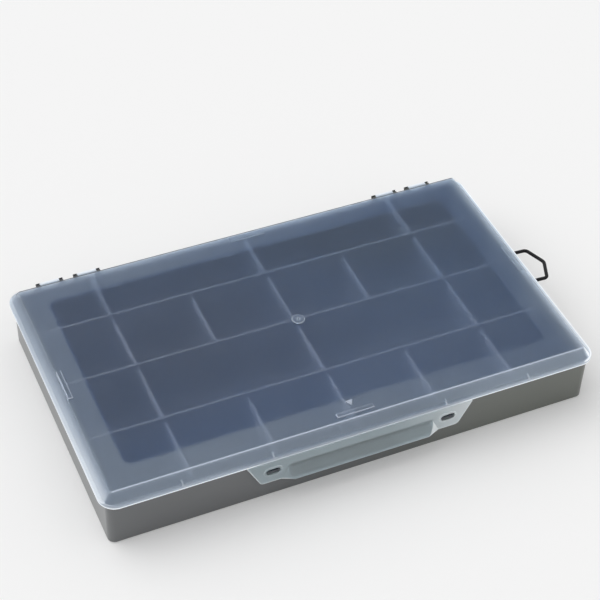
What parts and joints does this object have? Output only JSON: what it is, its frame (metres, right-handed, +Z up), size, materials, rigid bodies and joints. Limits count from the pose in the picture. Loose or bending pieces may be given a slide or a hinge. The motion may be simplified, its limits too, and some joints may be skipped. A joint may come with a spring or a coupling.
{
  "type": "tackle box",
  "caption": "Flat tackle box: shallow divided tray with fixed walls and lift-out dividers, a hinged translucent domed lid, a latch flap with a grip, and a wire bail on one end.",
  "frame": {"origin": "centre of the tray's flat underside", "axes": "+X along the long side, to the end with the wire bail; +Y to the hinged back; +Z up, out of the lid"},
  "size_m": [0.3797, 0.2212, 0.0473],
  "materials": {
    "tray_plastic": "dark olive-grey moulded polypropylene, low sheen",
    "clear_plastic": "hazy translucent polypropylene, smooth",
    "flap_plastic": "the lid's translucent polypropylene, thicker and hazier",
    "divider_plastic": "milky translucent polypropylene",
    "black_wire": "black coated steel wire, satin",
    "pin_steel": "blackened steel rod"
  },
  "bodies": {
    "tray": {"tray": "tray_plastic", "divider_row1_1": "divider_plastic", "divider_row1_2": "divider_plastic", "divider_row1_3": "divider_plastic", "divider_row2_1": "divider_plastic", "divider_row2_2": "divider_plastic", "divider_row2_3": "divider_plastic", "divider_row2_4": "divider_plastic", "divider_row2_5": "divider_plastic", "divider_row3_1": "divider_plastic", "divider_row3_2": "divider_plastic", "divider_row3_3": "divider_plastic", "divider_row4_1": "divider_plastic", "divider_row4_2": "divider_plastic", "divider_row4_3": "divider_plastic", "divider_row4_4": "divider_plastic", "divider_row4_5": "divider_plastic"},
    "lid": {"lid": "clear_plastic", "hinge_pin_left_outer": "pin_steel", "hinge_pin_left_inner": "pin_steel", "hinge_pin_right_inner": "pin_steel", "hinge_pin_right_outer": "pin_steel"},
    "latch": {"latch_flap": "flap_plastic"},
    "bail": {"wire_bail": "black_wire"}
  },
  "joints": [
    {"name": "lid_hinge", "type": "hinge", "parent": "tray", "child": "lid", "pos_m": [0, 0.1083, 0.0381], "axis": [-1, 0, 0], "range_deg": [0, 180]},
    {"name": "latch_hinge", "type": "hinge", "parent": "lid", "child": "latch", "pos_m": [0, -0.1062, 0.0361], "axis": [-1, 0, 0], "range_deg": [0, 90]},
    {"name": "bail_pivot", "type": "hinge", "parent": "tray", "child": "bail", "pos_m": [0.17841, 0, 0.0346], "axis": [0, 1, 0], "range_deg": [-32, 84]}
  ]
}
